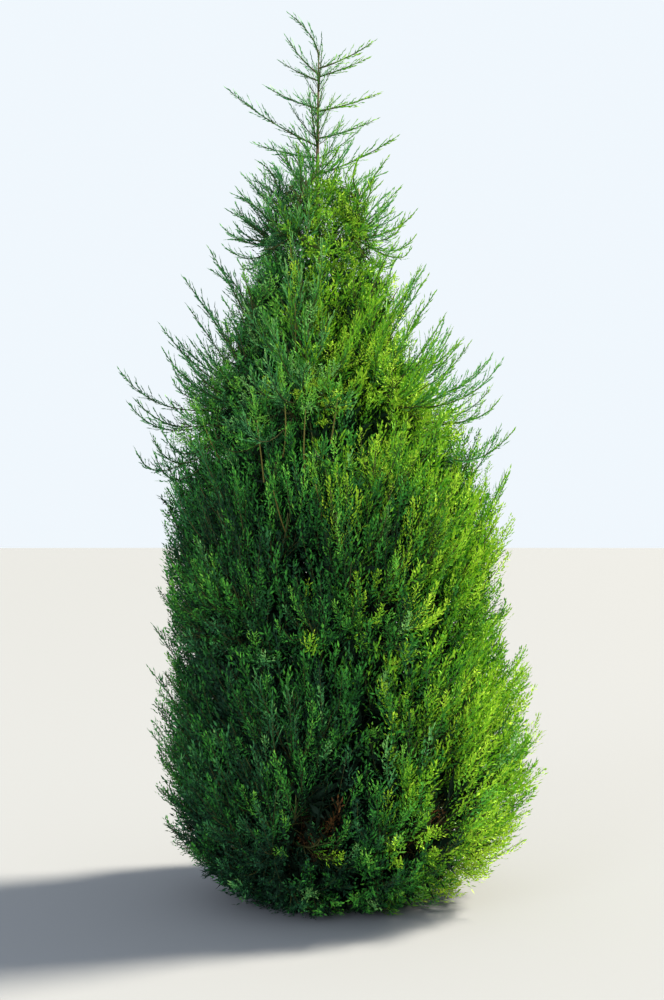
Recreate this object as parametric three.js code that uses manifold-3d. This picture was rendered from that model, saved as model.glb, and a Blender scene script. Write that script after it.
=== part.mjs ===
// Eastern red cedar: a young, field-grown tree, 3.6 m tall, with a flame-shaped crown down to the ground.
// The trunk runs up through the whole crown. Steep boughs leave it in four tiers, each bough carries one mass
// of foliage, and the open top is made of single shoots.
// Millimetres, +Z up, the origin in the middle of the trunk's flat cut at ground level. The front is -Y.

import * as THREE from "three";
import { mergeVertices } from "three/addons/utils/BufferGeometryUtils.js";
import Module from "manifold-3d";

const wasm = await Module();
wasm.setup();

// Trunk
const TRUNK_TIP_HEIGHT = 3420;
const TRUNK_FOOT_RADIUS = 42;
const TRUNK_TIP_RADIUS = 3;
const TRUNK_TAPER = 1.1; // 1 would be a straight cone
const TRUNK_LEAN = -14; // how far right of the foot the tip stands
const TRUNK_BOW = -18; // how far right of that line the middle stands
const TRUNK_SIDES = 15;
const TRUNK_STEPS = 10;
const TRUNK_STEP_GROWTH = 1.7; // its rings are closer together near the ground
const ROOT_FLARE = 30;
const ROOT_FLARE_HEIGHT = 75;
const ROOT_LOBES = 5;
const ROOT_LOBE_SHARE = 0.28;

// Crown: its radius at each height, and how much further it reaches on its fuller side, the right
const CROWN_PROFILE = [
  [0, 440],
  [160, 615],
  [290, 685],
  [450, 735],
  [780, 708],
  [1000, 697],
  [1640, 700],
  [1800, 655],
  [2050, 570],
  [2250, 445],
  [2350, 392],
  [2600, 320],
  [2850, 255],
  [2980, 170],
  [3400, 50],
];
const FULL_SIDE_AZIMUTH = 0;
const FULL_SIDE_SHIFT = 65;
const FULL_SIDE_TOP = 2100;
const FULL_SIDE_FADE = 400;
const BULGE_REACH = 145;
const BULGE_HEIGHT = 550;
const BULGE_SPREAD = 430;
const GROOVE_SHARE = 0.07; // how much the crown draws in between two masses
const GROUND_CLEARANCE = 22;
const INNER_RADIUS = 60;
const SEAT_GAP = 0.3;
const SIDE_CLEARANCE = 7; // half of the space between two masses of a tier
const LEVEL_CLEARANCE = 10.5; // the same between two tiers
const LIMB_CLEARANCE = 4;

// Each tier of masses lies between two cones that rise outwards from the trunk.
const TIERS = [
  {
    name: "skirt",
    masses: 6,
    firstAzimuth: 15,
    low: { height: GROUND_CLEARANCE, rise: 0 },
    high: { height: 330, rise: 1 },
    tipLean: 38,
    boughRadius: 12,
    longShoots: [{ level: 0.9, past: 45 }],
  },
  {
    name: "flank",
    masses: 6,
    firstAzimuth: -8,
    low: { height: 330, rise: 1 },
    high: { height: 1416, rise: 0.7 },
    tipLean: 24,
    boughRadius: 11,
    longShoots: [{ level: 0.93, past: 60 }],
  },
  {
    name: "shoulder",
    masses: 6,
    firstAzimuth: 22,
    low: { height: 1416, rise: 0.7 },
    high: { height: 2350, rise: 0.7 },
    tipLean: 38,
    boughRadius: 8,
    longShoots: [
      { level: 0.1, past: 215 },
      { level: 0.42, past: 170 },
      { level: 0.72, past: 160 },
    ],
  },
  {
    name: "neck",
    masses: 4,
    firstAzimuth: -22,
    low: { height: 2350, rise: 0.7 },
    high: { height: 2860, rise: 0.5 },
    tipLean: 44,
    boughRadius: 5.5,
    longShoots: [
      { level: 0.25, past: 100 },
      { level: 0.86, past: 115 },
    ],
  },
];

// Boughs, and the stems that carry on from them. A level is a share of the tier's height, and a depth runs
// from 0 beside the trunk to 1 on the crown's skin.
const BOUGH_FOOT_LEVEL = 0.14;
const BOUGH_TIP_LEVEL = 0.3;
const BOUGH_TIP_DEPTH = 0.36;
const BOUGH_SPREAD = 0.25; // share of the mass's half width
const BOUGH_TIP_SHARE = 0.5; // of the bough's foot radius
const BOUGH_SIDES = 5;
const BOUGH_STEPS = 4;
const LIMB_BEND = { along: 0.54, rise: 0.36 }; // it leaves the trunk low and steepens towards its tip
const STEM_TIP_LEVEL = 0.84;
const STEM_TIP_DEPTH = 0.7;
const STEM_TIP_RADIUS = 2.5;
const STEM_STEPS = 3;
const STEM_BEND = 0.42;

// Cores, and the teeth on their outer side that stand for the plumes between the twigs' own
const CORE_AROUND = 12;
const CORE_OUTER_STEPS = 9; // of the steps around, those on the outer side
const CORE_RINGS = 9;
const CORE_SQUARENESS = 0.75; // from 0, round, to 1, square
const CORE_END_SHARE = 0.78; // size of its level ends
const CORE_MIDDLE = { level: 0.49, depth: 0.62 };
const CORE_HALF = { side: 0.95, level: 0.465, depth: 0.16 };
const TOOTH = { level: 0.075, depth: 0.19, variation: 0.3, columnWave: 5, ringWave: 3, leastOut: 0.1 };

// Twigs, and the plume at the end of each: a toothed blade, broad side outwards
const TWIGS = 6;
const TWIG_SIDES = 3;
const TWIG_RADIUS = 4;
const TWIG_TIP_RADIUS = 2.4;
const TWIG_SPREAD = 0.82; // share of the mass's half width that the tips take up
const TWIG_LEVELS = { lowest: 0.06, highest: 0.97 };
const TWIG_DROP = 0.14; // how far below its tip's level a twig leaves the stem
const TWIG_FEET = { first: 0.3, last: 0.92 }; // shares of the stem, which is in the core by the first
const TWIG_BEND = 0.5;
const TWIG_END = 0.56; // the twig ends here, sunk in its plume
const TIP_PAST = { least: -45, most: 35 }; // how far past the skin a plume ends
const FLAT_LEAN = 72; // lean of the skirt's lowest tips, in degrees from the vertical
const FLAT_LEVEL = 0.45; // the skirt's tips lean more from here down
const PLUME_FOOT = 0.5;
const PLUME_WIDTH = 120;
const PLUME_THICKNESS = 34;
const PLUME_TURN = 0.6; // most that a plume's broad side turns off the outward direction
const BLADE_CENTRE = 0.42; // where a blade is thickest
const BLADE_OUTLINE = [
  [1, 0],
  [0.64, 0.15],
  [0.8, 0.5],
  [0.26, 0.26],
  [0, 0],
];
const GOLDEN_RATIO = 0.618034;
const SEED = 3607;
const SEED_STEP = { tier: 97, mass: 13, layout: 7 };
const RANDOM = { modulus: 2147483647, start: 69621, factor: 48271 };

// Long shoots: each has three edges, and a side spray stands out of one of them at each step
const SHOOT_SIDES = 3;
const SHOOT_STEPS = 9;
const SHOOT_FOOT_RADIUS = 5;
const SHOOT_TIP_RADIUS = 3;
const SIDE_SPRAY = { atFoot: 53, atTip: 30 };
const SIDE_SPRAY_ANGLE = 40;
const BARE_SHARE = 0.3; // of a shoot's length, from its foot
const SHOOT_SPREAD = 0.22; // share of the mass's half width
const SHOOT_VARIATION = { least: 0.85, most: 1.1 };

// Single shoots of the open top: the height where each leaves the trunk, its azimuth, its reach from the
// trunk and its tip's height
const LEADER_SHOOTS = [
  { foot: 3360, azimuth: 165, reach: 135, tip: 3520 },
  { foot: 3384, azimuth: 14, reach: 224, tip: 3508 },
  { foot: 3348, azimuth: -24, reach: 208, tip: 3392 },
  { foot: 3332, azimuth: 200, reach: 158, tip: 3388 },
  { foot: 3290, azimuth: 275, reach: 165, tip: 3400 },
  { foot: 3205, azimuth: 8, reach: 240, tip: 3285 },
  { foot: 3216, azimuth: 168, reach: 212, tip: 3316 },
  { foot: 3180, azimuth: 95, reach: 200, tip: 3330 },
  { foot: 3092, azimuth: 20, reach: 246, tip: 3192 },
  { foot: 3060, azimuth: 187, reach: 364, tip: 3274 },
  { foot: 3050, azimuth: 262, reach: 230, tip: 3200 },
  { foot: 3010, azimuth: 160, reach: 272, tip: 3092 },
  { foot: 2940, azimuth: 2, reach: 312, tip: 3092 },
];
const TIP_SHOOT = { azimuth: 184, reach: 110, tip: 3600 };
const LEADER_STEM_SHARE = 0.72; // of the trunk's radius
const LEADER_BARE_SHARE = 0.16;
const TIP_BEND = 90;
const TIP_AIM = 10; // the tip shoot carries on the way of the trunk's last stretch, this long
const CHECK = { points: 16, from: 3 }; // where along the other shoots a side spray looks for them

const BARK = new THREE.MeshStandardMaterial({ color: 0x6e5140, roughness: 0.92, metalness: 0 });
const FOLIAGE = new THREE.MeshStandardMaterial({ color: 0x2f6f27, roughness: 0.75, metalness: 0 });

const degrees = THREE.MathUtils.degToRad;
const mix = THREE.MathUtils.lerp;
const clamp = THREE.MathUtils.clamp;
const UP = new THREE.Vector3(0, 0, 1);
const ROUNDING = 1e6; // vertices are rounded to one part in this before they are moved
const WELD_DISTANCE = 1e-4;
const SKIN_SEARCH_STEPS = 24;

// The same numbers in the same order for one seed, from 0 to 1
function seededRandom(seed) {
  let state = (seed * RANDOM.start) % RANDOM.modulus;
  return () => {
    state = (state * RANDOM.factor) % RANDOM.modulus;
    return state / RANDOM.modulus;
  };
}

function trunkCentre(height) {
  const share = height / TRUNK_TIP_HEIGHT;
  return TRUNK_LEAN * share + TRUNK_BOW * Math.sin(Math.PI * Math.min(share, 1));
}

function trunkRadius(height) {
  const left = Math.max(0, 1 - height / TRUNK_TIP_HEIGHT);
  const taper = mix(TRUNK_TIP_RADIUS, TRUNK_FOOT_RADIUS, left ** TRUNK_TAPER);
  return taper + ROOT_FLARE * Math.exp(-height / ROOT_FLARE_HEIGHT);
}

function fromTrunk(radius, azimuth, height) {
  const x = trunkCentre(height) + radius * Math.cos(azimuth);
  return new THREE.Vector3(x, radius * Math.sin(azimuth), height);
}

function aboutTrunk(point) {
  const x = point.x - trunkCentre(point.z);
  return { radius: Math.hypot(x, point.y), azimuth: Math.atan2(point.y, x) };
}

function profileRadius(height) {
  const next = CROWN_PROFILE.findIndex(([top]) => top >= height);
  if (next < 0) return CROWN_PROFILE.at(-1)[1];
  if (next === 0) return CROWN_PROFILE[0][1];
  const [lowHeight, lowRadius] = CROWN_PROFILE[next - 1];
  const [highHeight, highRadius] = CROWN_PROFILE[next];
  return mix(lowRadius, highRadius, (height - lowHeight) / (highHeight - lowHeight));
}

function crownRadius(height, azimuth) {
  const facing = Math.cos(azimuth - degrees(FULL_SIDE_AZIMUTH));
  const shift = FULL_SIDE_SHIFT * facing * clamp((FULL_SIDE_TOP - height) / FULL_SIDE_FADE, 0, 1);
  const nearness = Math.exp(-(((height - BULGE_HEIGHT) / BULGE_SPREAD) ** 2));
  return profileRadius(height) + shift + BULGE_REACH * Math.max(0, facing) ** 2 * nearness;
}

function levelHeight(tier, radius, level) {
  const low = tier.low.height + tier.low.rise * radius;
  const high = tier.high.height + tier.high.rise * radius;
  return mix(low, high, level);
}

// The crown's radius where a mass's level line meets the skin, with the groove at the mass's sides
function skinRadius(cell, side, level) {
  const azimuth = cell.azimuth + side * cell.halfWidth;
  const groove = 1 - GROOVE_SHARE * side ** 4;
  let radius = crownRadius(levelHeight(cell.tier, 0, level), azimuth);
  for (let i = 0; i < SKIN_SEARCH_STEPS; i++) {
    const height = levelHeight(cell.tier, radius, level);
    radius = (radius + groove * crownRadius(height, azimuth)) / 2;
  }
  return radius;
}

// A place in a mass: side from -1 to 1, level and depth from 0 to 1, and millimetres past the skin
function cellPoint(cell, side, level, depth, past = 0) {
  const radius = mix(INNER_RADIUS, skinRadius(cell, side, level), depth) + past;
  const height = levelHeight(cell.tier, radius, level);
  return fromTrunk(radius, cell.azimuth + side * cell.halfWidth, height);
}

function isInCell(point, cell) {
  const { radius, azimuth } = aboutTrunk(point);
  const turn = azimuth - cell.azimuth;
  const off = Math.abs(Math.atan2(Math.sin(turn), Math.cos(turn)));
  const toSide = radius * Math.sin(cell.halfWidth - off);
  const low = levelHeight(cell.tier, radius, 0) + LEVEL_CLEARANCE;
  const high = levelHeight(cell.tier, radius, 1) - LEVEL_CLEARANCE;
  return off < cell.halfWidth && toSide > SIDE_CLEARANCE && point.z > low && point.z < high;
}

function solidOf(geometry) {
  geometry.deleteAttribute("normal");
  geometry.deleteAttribute("uv");
  const merged = mergeVertices(geometry, WELD_DISTANCE);
  const vertProperties = merged.attributes.position.array;
  const triVerts = new Uint32Array(merged.index.array);
  return new wasm.Manifold(new wasm.Mesh({ numProp: 3, vertProperties, triVerts }));
}

// Moves each vertex of a geometry to where place puts it. Rounding first keeps a seam's two sides together.
function reshape(geometry, place) {
  const position = geometry.getAttribute("position");
  const vertex = new THREE.Vector3();
  for (let i = 0; i < position.count; i++) {
    vertex.fromBufferAttribute(position, i).multiplyScalar(ROUNDING).round().divideScalar(ROUNDING);
    const moved = place(vertex);
    position.setXYZ(i, moved.x, moved.y, moved.z);
  }
  return geometry;
}

// A tapering limb along a curve, with flat ends square to it
function limbSolid(curve, footRadius, tipRadius, sides, steps) {
  const frames = curve.computeFrenetFrames(steps);
  const geometry = new THREE.CylinderGeometry(1, 1, 1, sides, steps);
  return solidOf(
    reshape(geometry, (v) => {
      const step = Math.round((v.y + 0.5) * steps);
      const radius = mix(footRadius, tipRadius, step / steps);
      return curve
        .getPointAt(step / steps)
        .addScaledVector(frames.normals[step], v.x * radius)
        .addScaledVector(frames.binormals[step], -v.z * radius);
    }),
  );
}

// The trunk in level rings, its root lobes strongest at the ground. extra makes it thicker all round.
function trunkSolid(extra) {
  const geometry = new THREE.CylinderGeometry(1, 1, 1, TRUNK_SIDES, TRUNK_STEPS);
  return solidOf(
    reshape(geometry, (v) => {
      const height = TRUNK_TIP_HEIGHT * (v.y + 0.5) ** TRUNK_STEP_GROWTH;
      const angle = Math.atan2(-v.z, v.x);
      const flare = Math.exp(-height / ROOT_FLARE_HEIGHT);
      const lobes = 1 + ROOT_LOBE_SHARE * flare * Math.cos(ROOT_LOBES * angle);
      const radius = (trunkRadius(height) * lobes + extra) * Math.hypot(v.x, v.z);
      return fromTrunk(radius, angle, height);
    }),
  );
}

// A blade with three teeth, its outline in the plane of its axis and of across, thickest near its middle
function bladeGeometry(foot, tip, across) {
  const axis = tip.clone().sub(foot);
  const broad = across.clone().addScaledVector(axis, -across.dot(axis) / axis.lengthSq()).normalize();
  const thin = axis.clone().cross(broad).normalize();
  const corners = 2 * (BLADE_OUTLINE.length - 1);
  return reshape(new THREE.SphereGeometry(1, corners, 2), (v) => {
    const isPole = Math.abs(v.y) > 0.5;
    const turn = Math.round((Math.atan2(v.z, -v.x) / (2 * Math.PI)) * corners);
    const [along, aside] = isPole ? [BLADE_CENTRE, 0] : BLADE_OUTLINE[Math.abs(turn)];
    return foot
      .clone()
      .addScaledVector(axis, along)
      .addScaledVector(broad, Math.sign(turn) * aside * PLUME_WIDTH)
      .addScaledVector(thin, (v.y * PLUME_THICKNESS) / 2);
  });
}

// A long shoot with side sprays all round it. keep says whether a side spray may end at a point.
function shootSolid(curve, footRadius, bareShare, keep) {
  const frames = curve.computeFrenetFrames(SHOOT_STEPS);
  const geometry = new THREE.ConeGeometry(1, 1, SHOOT_SIDES, SHOOT_STEPS);
  return solidOf(
    reshape(geometry, (v) => {
      const step = Math.round((v.y + 0.5) * SHOOT_STEPS);
      const share = step / SHOOT_STEPS;
      const edge = Math.round((Math.atan2(v.z, v.x) / (2 * Math.PI)) * SHOOT_SIDES + SHOOT_SIDES);
      const centre = curve.getPointAt(share);
      const size = Math.hypot(v.x, v.z);
      if (size === 0) return centre;
      const outward = frames.normals[step]
        .clone()
        .multiplyScalar(v.x / size)
        .addScaledVector(frames.binormals[step], -v.z / size);
      const angle = degrees(SIDE_SPRAY_ANGLE);
      const length = mix(SIDE_SPRAY.atFoot, SIDE_SPRAY.atTip, share);
      const tip = centre
        .clone()
        .addScaledVector(outward, length * Math.sin(angle))
        .addScaledVector(frames.tangents[step], length * Math.cos(angle));
      const hasSpray = edge % SHOOT_SIDES === step % SHOOT_SIDES && share > bareShare && share < 1;
      if (hasSpray && keep(tip)) return tip;
      return centre.addScaledVector(outward, mix(footRadius, SHOOT_TIP_RADIUS, share));
    }),
  );
}

function cornersOf(geometry) {
  const position = geometry.getAttribute("position");
  const corners = Array.from({ length: position.count }, () => new THREE.Vector3());
  return corners.map((corner, i) => corner.fromBufferAttribute(position, i));
}

// Joins solids to one closed body: hollows that are sealed are filled, and loose scraps are dropped.
function fuse(solids) {
  const bodies = solids.reduce((joined, solid) => joined.add(solid)).decompose();
  return bodies.reduce((a, b) => (a.volume() > b.volume() ? a : b));
}

// A twig with its plume at the end, or nothing where the plume leaves its mass's space
function twigSolids(curve, turn, keep) {
  const foot = curve.getPoint(PLUME_FOOT);
  const tip = curve.getPoint(1);
  const heading = curve.getTangent(1);
  const across = heading.clone().cross(UP).normalize().applyAxisAngle(heading, turn);
  const blade = bladeGeometry(foot, tip, across);
  if (!cornersOf(blade).every(keep)) return [];
  const path = new THREE.LineCurve3(curve.getPoint(0), curve.getPoint(TWIG_END));
  return [limbSolid(path, TWIG_RADIUS, TWIG_TIP_RADIUS, TWIG_SIDES, 1), solidOf(blade)];
}

function limbCurve(foot, tip) {
  const bend = foot.clone().lerp(tip, LIMB_BEND.along);
  bend.z = mix(foot.z, tip.z, LIMB_BEND.rise);
  return new THREE.QuadraticBezierCurve3(foot, bend, tip);
}

function boughCurve(cell) {
  const foot = fromTrunk(0, cell.azimuth, levelHeight(cell.tier, 0, BOUGH_FOOT_LEVEL));
  const tip = cellPoint(cell, cell.boughSide, BOUGH_TIP_LEVEL, BOUGH_TIP_DEPTH);
  return limbCurve(foot, tip);
}

function boughSolid(curve, tier, extra) {
  const tipRadius = tier.boughRadius * BOUGH_TIP_SHARE;
  return limbSolid(curve, tier.boughRadius + extra, tipRadius + extra, BOUGH_SIDES, BOUGH_STEPS);
}

function stemCurve(bough, cell) {
  const heading = bough.getTangent(1);
  const foot = bough.getPoint(1).addScaledVector(heading, SEAT_GAP);
  const tip = cellPoint(cell, -cell.boughSide, STEM_TIP_LEVEL, STEM_TIP_DEPTH);
  const bend = foot.clone().addScaledVector(heading, STEM_BEND * foot.distanceTo(tip));
  return new THREE.QuadraticBezierCurve3(foot, bend, tip);
}

// A twig from the stem to a place on the skin: it leaves the stem lower down and turns up at its tip.
function twigCurve(cell, stem, side, level, past) {
  const tip = cellPoint(cell, side, level, 1, past);
  const from = (level - TWIG_DROP - BOUGH_TIP_LEVEL) / (STEM_TIP_LEVEL - BOUGH_TIP_LEVEL);
  const foot = stem.getPoint(clamp(from, TWIG_FEET.first, TWIG_FEET.last));
  const flat = cell.tier.name === "skirt" ? Math.max(0, 1 - level / FLAT_LEVEL) : 0;
  const lean = degrees(mix(cell.tier.tipLean, FLAT_LEAN, flat));
  const azimuth = cell.azimuth + side * cell.halfWidth;
  const outward = new THREE.Vector3(Math.cos(azimuth), Math.sin(azimuth), 0);
  const heading = outward.multiplyScalar(Math.sin(lean)).addScaledVector(UP, Math.cos(lean));
  const bend = tip.clone().addScaledVector(heading, -TWIG_BEND * foot.distanceTo(tip));
  return new THREE.QuadraticBezierCurve3(foot, bend, tip);
}

// The core fills most of its mass's space. Every other corner of its outer side is drawn up and out to a
// tooth.
function coreSolid(cell) {
  const geometry = new THREE.SphereGeometry(1, CORE_AROUND, CORE_RINGS);
  return solidOf(
    reshape(geometry, (v) => {
      const isPole = Math.abs(v.y) === 1;
      const turn = isPole ? 0 : Math.atan2(v.z, -v.x) / (2 * Math.PI);
      const column = Math.round((turn + 1) * CORE_AROUND) % CORE_AROUND;
      const ring = Math.round((Math.acos(v.y) / Math.PI) * CORE_RINGS);
      const inner = (column - CORE_OUTER_STEPS) / (CORE_AROUND - CORE_OUTER_STEPS);
      const angle = Math.PI * (inner > 0 ? 1 + inner : column / CORE_OUTER_STEPS);
      const across = Math.cos(angle);
      const out = Math.sin(angle);
      const isEnd = ring <= 1 || ring >= CORE_RINGS - 1;
      const end = isPole ? 0 : isEnd ? CORE_END_SHARE : 1;
      const size = end / Math.max(Math.abs(across), Math.abs(out)) ** CORE_SQUARENESS;
      const height = isPole ? v.y : 1 - (2 * (ring - 1)) / (CORE_RINGS - 2);
      const side = -CORE_HALF.side * across * size;
      const level = CORE_MIDDLE.level + CORE_HALF.level * height;
      const depth = CORE_MIDDLE.depth + CORE_HALF.depth * out * size;
      const isTooth = !isPole && out > TOOTH.leastOut && (column + ring) % 2 === 0;
      if (!isTooth) return cellPoint(cell, side, level, depth);
      const raised = Math.min(level + TOOTH.level, CORE_MIDDLE.level + CORE_HALF.level);
      const wave = Math.sin(TOOTH.columnWave * column + TOOTH.ringWave * ring + cell.seed);
      const drawn = 1 + TOOTH.variation * wave;
      return cellPoint(cell, side, raised, depth + TOOTH.depth * drawn);
    }),
  );
}

// One mass: the stem that carries on from the bough, the core round it, and the twigs that stand out of the
// core. What would touch the bough is skipped.
function massSolid(cell, stem, aroundBough) {
  const random = seededRandom(cell.seed);
  const keep = (corner) => isInCell(corner, cell);
  const boughTip = cell.tier.boughRadius * BOUGH_TIP_SHARE;
  const isClear = (solid) => solid.intersect(aroundBough).isEmpty();
  const solids = [limbSolid(stem, boughTip, STEM_TIP_RADIUS, BOUGH_SIDES, STEM_STEPS), coreSolid(cell)];
  for (let i = 0; i < TWIGS; i++) {
    const side = TWIG_SPREAD * (2 * ((cell.phase + i * GOLDEN_RATIO) % 1) - 1);
    const level = mix(TWIG_LEVELS.lowest, TWIG_LEVELS.highest, (i + random()) / TWIGS);
    const past = mix(TIP_PAST.least, TIP_PAST.most, random());
    const turn = mix(-PLUME_TURN, PLUME_TURN, random());
    const twig = twigSolids(twigCurve(cell, stem, side, level, past), turn, keep);
    if (twig.every(isClear)) solids.push(...twig);
  }
  for (const shoot of cell.tier.longShoots) {
    const side = mix(-SHOOT_SPREAD, SHOOT_SPREAD, random());
    const past = shoot.past * mix(SHOOT_VARIATION.least, SHOOT_VARIATION.most, random());
    const curve = twigCurve(cell, stem, side, shoot.level, past);
    const solid = shootSolid(curve, SHOOT_FOOT_RADIUS, BARE_SHARE, keep);
    if (isClear(solid)) solids.push(solid);
  }
  return fuse(solids);
}

function cellsOf(tier, tierIndex) {
  return Array.from({ length: tier.masses }, (_, index) => {
    const seed = SEED + SEED_STEP.tier * tierIndex + SEED_STEP.mass * index;
    const random = seededRandom(seed + SEED_STEP.layout);
    return {
      tier,
      seed,
      name: `${tier.name}_${index + 1}`,
      azimuth: degrees(tier.firstAzimuth + (360 / tier.masses) * index),
      halfWidth: Math.PI / tier.masses,
      boughSide: mix(-BOUGH_SPREAD, BOUGH_SPREAD, random()),
      phase: random(),
    };
  });
}

// A shoot of the open top rises from the trunk and turns up towards its tip.
function leaderCurve(shoot) {
  const azimuth = degrees(shoot.azimuth);
  const foot = fromTrunk(0, azimuth, shoot.foot);
  const tip = fromTrunk(shoot.reach, azimuth, shoot.tip);
  return limbCurve(foot, tip);
}

function tipCurve() {
  const below = fromTrunk(0, 0, TRUNK_TIP_HEIGHT - TIP_AIM);
  const top = fromTrunk(0, 0, TRUNK_TIP_HEIGHT);
  const foot = top.clone().addScaledVector(UP, SEAT_GAP);
  const bend = top.clone().addScaledVector(top.clone().sub(below).normalize(), TIP_BEND);
  const tip = fromTrunk(TIP_SHOOT.reach, degrees(TIP_SHOOT.azimuth), TIP_SHOOT.tip);
  return new THREE.QuadraticBezierCurve3(foot, bend, tip);
}

// A side spray of a leader shoot keeps off the trunk, the masses below and the other shoots.
function leaderKeep(curve, others) {
  const own = curve.getPoints(CHECK.points);
  return (point) => {
    const { radius } = aboutTrunk(point);
    const clearOfTrunk = radius > trunkRadius(point.z) + LIMB_CLEARANCE || point.z > TRUNK_TIP_HEIGHT;
    const above = point.z > levelHeight(TIERS.at(-1), radius, 1) + SIDE_CLEARANCE;
    const toOwn = Math.min(...own.map((p) => p.distanceTo(point)));
    return clearOfTrunk && above && others.every((p) => p.distanceTo(point) > toOwn + SIDE_CLEARANCE);
  };
}

function meshOf(name, solid, material) {
  const { vertProperties, triVerts } = solid.getMesh();
  const geometry = new THREE.BufferGeometry();
  geometry.setAttribute("position", new THREE.BufferAttribute(vertProperties, 3));
  geometry.setIndex(new THREE.BufferAttribute(triVerts, 1));
  geometry.computeVertexNormals();
  const mesh = new THREE.Mesh(geometry, material);
  mesh.name = name;
  return mesh;
}

function addTier(tree, tier, tierIndex, aroundTrunk) {
  for (const cell of cellsOf(tier, tierIndex)) {
    const bough = boughCurve(cell);
    const stem = stemCurve(bough, cell);
    const limb = boughSolid(bough, tier, 0).subtract(aroundTrunk);
    tree.add(meshOf(`bough_${cell.name}`, fuse([limb]), BARK));
    const aroundBough = boughSolid(bough, tier, LIMB_CLEARANCE);
    tree.add(meshOf(`foliage_${cell.name}`, massSolid(cell, stem, aroundBough), FOLIAGE));
  }
}

function addLeader(tree, aroundTrunk) {
  const curves = [...LEADER_SHOOTS.map(leaderCurve), tipCurve()];
  curves.forEach((curve, index) => {
    const isTip = index === LEADER_SHOOTS.length;
    const others = curves
      .filter((other) => other !== curve)
      .flatMap((other) => other.getPoints(CHECK.points).slice(CHECK.from));
    const footRadius = isTip ? TRUNK_TIP_RADIUS : LEADER_STEM_SHARE * trunkRadius(curve.getPoint(0).z);
    const solid = shootSolid(curve, footRadius, LEADER_BARE_SHARE, leaderKeep(curve, others));
    const name = isTip ? "foliage_tip" : `foliage_leader_${index + 1}`;
    tree.add(meshOf(name, isTip ? solid : fuse([solid.subtract(aroundTrunk)]), FOLIAGE));
  });
}

const tree = new THREE.Group();
tree.name = "eastern_red_cedar";
tree.add(meshOf("trunk", trunkSolid(0), BARK));
const aroundTrunk = trunkSolid(SEAT_GAP / Math.cos(Math.PI / TRUNK_SIDES));
TIERS.forEach((tier, tierIndex) => addTier(tree, tier, tierIndex, aroundTrunk));
addLeader(tree, aroundTrunk);

export default tree;
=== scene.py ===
# Eastern red cedar, dressed: bark on the trunk and boughs, and the foliage carried on from them by the
# rule that placed the solids' twigs, down to its finest sprays. Places are in millimetres, +Z up, with the
# front at -Y, and each mesh is scaled to metres when it is made.
import math

import bpy
import numpy as np
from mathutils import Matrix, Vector


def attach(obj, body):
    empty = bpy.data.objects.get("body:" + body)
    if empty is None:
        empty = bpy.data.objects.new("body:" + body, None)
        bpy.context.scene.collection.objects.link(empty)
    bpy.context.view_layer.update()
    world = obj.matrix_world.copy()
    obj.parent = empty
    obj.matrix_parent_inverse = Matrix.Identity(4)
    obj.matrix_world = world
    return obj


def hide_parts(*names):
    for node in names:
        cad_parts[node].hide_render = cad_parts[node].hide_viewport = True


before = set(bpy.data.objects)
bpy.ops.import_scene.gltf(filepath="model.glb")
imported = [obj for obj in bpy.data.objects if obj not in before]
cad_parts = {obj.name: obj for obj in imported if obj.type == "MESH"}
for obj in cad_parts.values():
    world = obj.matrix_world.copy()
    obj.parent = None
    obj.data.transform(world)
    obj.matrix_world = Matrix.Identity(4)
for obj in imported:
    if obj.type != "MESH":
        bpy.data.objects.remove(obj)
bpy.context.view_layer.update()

METRES = 0.001

# Trunk
TRUNK_TIP_HEIGHT = 3420
TRUNK_FOOT_RADIUS = 42
TRUNK_TIP_RADIUS = 3
TRUNK_TAPER = 1.1
TRUNK_LEAN = -14  # how far right of the foot the tip stands
TRUNK_BOW = -18  # how far right of that line the middle stands
ROOT_FLARE = 30
ROOT_FLARE_HEIGHT = 75
ROOT_LOBES = 5
ROOT_LOBE_SHARE = 0.28
TRUNK_SIDES = 40
TRUNK_RINGS = 170
TRUNK_RING_GROWTH = 1.15  # its rings are closer together near the ground

# Strips of bark: waves round the trunk, which wander and drift as they rise
BARK_RELIEF = 0.16  # of the trunk's radius
BARK_WAVES = 14
BARK_LEAST_STRIPS = 7
BARK_MOST_STRIPS = 29
BARK_WANDER = 1.3
BARK_WANDER_HEIGHTS = (60, 180)
BARK_DRIFT = 0.006

# Crown: its radius at each height, how far it is moved to its fuller side, the right, and the bulge low on
# that side
CROWN_PROFILE = [
    (0, 440), (160, 615), (290, 685), (450, 735), (780, 708), (1000, 697), (1640, 700),
    (1800, 655), (2050, 570), (2250, 445), (2350, 392), (2600, 320), (2850, 255), (2980, 170), (3400, 50),
]
FULL_SIDE_SHIFT = 65
FULL_SIDE_TOP = 2100
FULL_SIDE_FADE = 400
BULGE_REACH = 145
BULGE_HEIGHT = 550
BULGE_SPREAD = 430
GROOVE_SHARE = 0.07  # how much the crown draws in between two masses
INNER_RADIUS = 60
SEAT_GAP = 0.3
SKIN_STEPS = 24  # that close in on where a level meets the skin

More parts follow.
